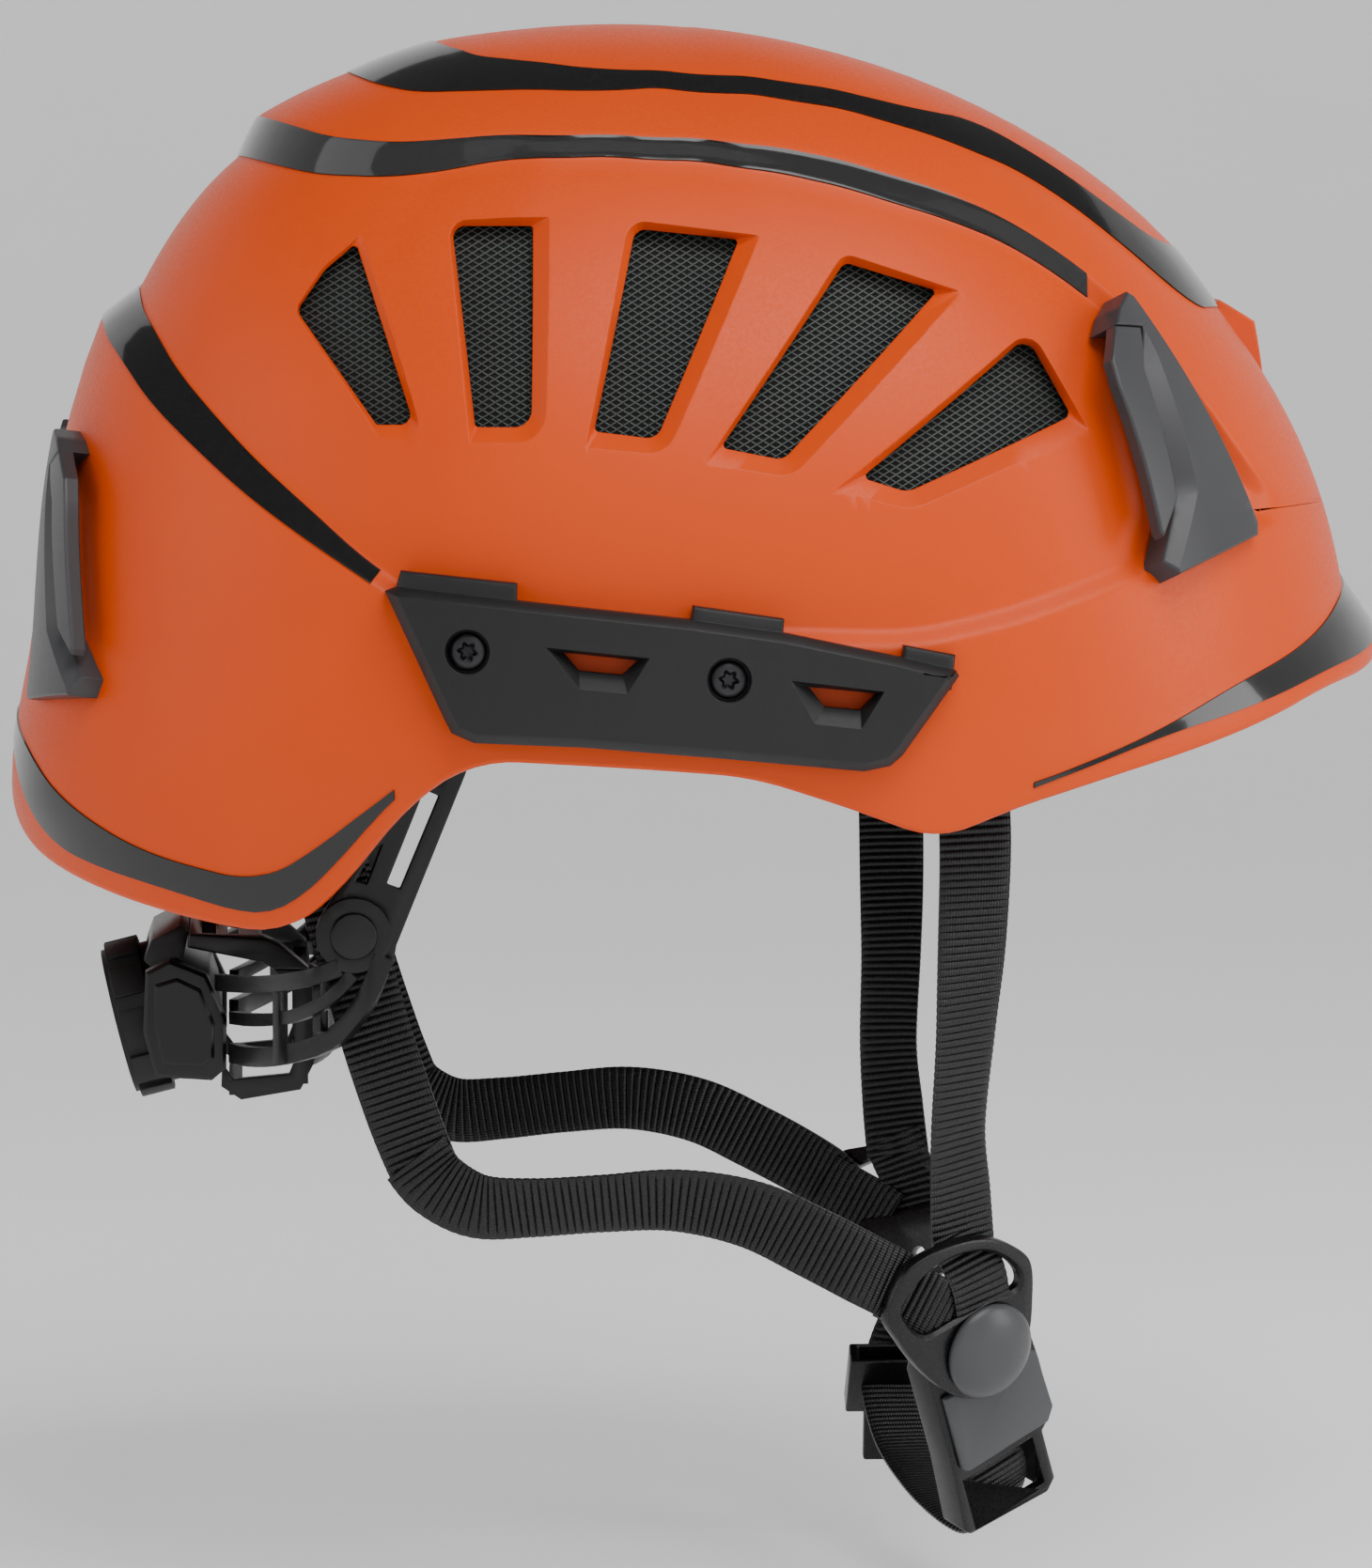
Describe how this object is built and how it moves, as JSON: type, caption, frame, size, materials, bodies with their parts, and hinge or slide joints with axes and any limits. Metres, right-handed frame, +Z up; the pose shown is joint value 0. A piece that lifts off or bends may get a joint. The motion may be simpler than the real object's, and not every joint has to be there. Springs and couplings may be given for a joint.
{
  "type": "arborist helmet",
  "caption": "Vented arborist climbing helmet with foam liner, ratchet nape adjuster, accessory rails, lamp clips and a webbing chin harness with slide buckle.",
  "frame": {"origin": "on the middle plane, level with the lower edge of the shell's side, in the opening that goes over the head", "axes": "+X front of the helmet, +Y the wearer's left, +Z up"},
  "size_m": [0.2871, 0.2282, 0.3163],
  "materials": {
    "shell_orange": "bright orange, semi-gloss moulded shell",
    "liner_foam": "black moulded foam",
    "mesh_wire": "dark grey-green mesh",
    "gloss_film": "high-gloss black reflective film",
    "rail_plastic": "charcoal, fine matte grain",
    "screw_black": "black coated steel",
    "pad_fabric": "black brushed fabric over foam",
    "webbing": "black ribbed polyester webbing",
    "buckle_grey": "dark grey satin plastic",
    "buckle_black": "black satin plastic",
    "pinion_plastic": "natural acetal",
    "knob_plastic": "black soft-touch",
    "adjuster_plastic": "black satin nylon"
  },
  "bodies": {
    "helmet": {"outer_shell": "shell_orange", "foam_liner": "liner_foam", "vent_mesh_right": "mesh_wire", "vent_mesh_left": "mesh_wire", "crown_film": "gloss_film", "crown_edge_film": "gloss_film", "rear_band_film": "gloss_film", "rear_rim_film": "gloss_film", "brim_film": "gloss_film", "side_rail_right": "rail_plastic", "side_rail_left": "rail_plastic", "rail_screws": "screw_black", "front_clip_right": "rail_plastic", "front_clip_left": "rail_plastic", "rear_clip_right": "rail_plastic", "rear_clip_left": "rail_plastic", "headband": "adjuster_plastic", "forehead_pad": "pad_fabric", "cradle_straps": "webbing", "cradle_clips": "adjuster_plastic", "crown_pad": "pad_fabric", "yoke_arm_right": "adjuster_plastic", "yoke_arm_left": "adjuster_plastic", "pivot_studs": "screw_black", "front_strap_right": "webbing", "front_strap_left": "webbing", "rear_strap_right": "webbing", "rear_strap_left": "webbing", "lower_strap_right": "webbing", "lower_strap_left": "webbing", "strap_anchors": "screw_black", "divider_right": "buckle_black", "divider_left": "buckle_black", "divider_cap": "buckle_grey", "chin_strap": "webbing", "strap_adjuster": "buckle_black", "strap_end_loop": "buckle_black"},
    "nape_yoke": {"nape_band_right": "adjuster_plastic", "nape_band_left": "adjuster_plastic"},
    "ratchet": {"ratchet_housing": "adjuster_plastic", "ratchet_cover_right": "adjuster_plastic", "ratchet_cover_left": "adjuster_plastic", "nape_bracket": "adjuster_plastic", "nape_frame": "adjuster_plastic", "nape_pad": "pad_fabric"},
    "knob": {"adjustment_knob": "knob_plastic", "drive_pinion": "pinion_plastic"},
    "buckle": {"buckle_housing": "buckle_black", "buckle_cover": "buckle_grey"},
    "front_right_tongue": {"front_tongue_right": "rail_plastic"},
    "front_left_tongue": {"front_tongue_left": "rail_plastic"},
    "rear_right_tongue": {"rear_tongue_right": "rail_plastic"},
    "rear_left_tongue": {"rear_tongue_left": "rail_plastic"}
  },
  "joints": [
    {"name": "nape_tilt", "type": "hinge", "parent": "helmet", "child": "nape_yoke", "pos_m": [-0.0719, 0, -0.0377], "axis": [0, 1, 0], "range_deg": [-10, 12]},
    {"name": "band_tighten", "type": "slide", "parent": "nape_yoke", "child": "ratchet", "axis": [1, 0, 0], "range_m": [-0.012, 0.02], "deforming": ["nape_band_right", "nape_band_left"]},
    {"name": "knob_turn", "type": "hinge", "parent": "ratchet", "child": "knob", "pos_m": [-0.11, 0, -0.0615], "axis": [0.9703, 0, 0.2419], "range_deg": [-137, 229]},
    {"name": "buckle_release", "type": "slide", "parent": "helmet", "child": "buckle", "axis": [0.265, 0.3787, -0.8868], "range_m": [0, 0.012], "deforming": ["chin_strap"]},
    {"name": "front_right_clip_flex", "type": "hinge", "parent": "helmet", "child": "front_right_tongue", "pos_m": [0.08254, -0.07672, 0.08309], "axis": [-0.8371, -0.5471, 0], "range_deg": [0, 10], "stiffness_Nm_per_rad": 0.4},
    {"name": "front_left_clip_flex", "type": "hinge", "parent": "helmet", "child": "front_left_tongue", "pos_m": [0.08254, 0.07672, 0.08309], "axis": [0.8371, -0.5471, 0], "range_deg": [0, 10], "stiffness_Nm_per_rad": 0.4},
    {"name": "rear_right_clip_flex", "type": "hinge", "parent": "helmet", "child": "rear_right_tongue", "pos_m": [-0.12931, -0.0398, 0.0561], "axis": [-0.4239, 0.8222, -0.3799], "range_deg": [0, 10], "stiffness_Nm_per_rad": 0.4},
    {"name": "rear_left_clip_flex", "type": "hinge", "parent": "helmet", "child": "rear_left_tongue", "pos_m": [-0.12931, 0.0398, 0.0561], "axis": [0.4239, 0.8222, 0.3799], "range_deg": [0, 10], "stiffness_Nm_per_rad": 0.4}
  ],
  "couplings": [
    {"joint": "band_tighten", "follows": "knob_turn", "m_per_rad": 0.005}
  ]
}
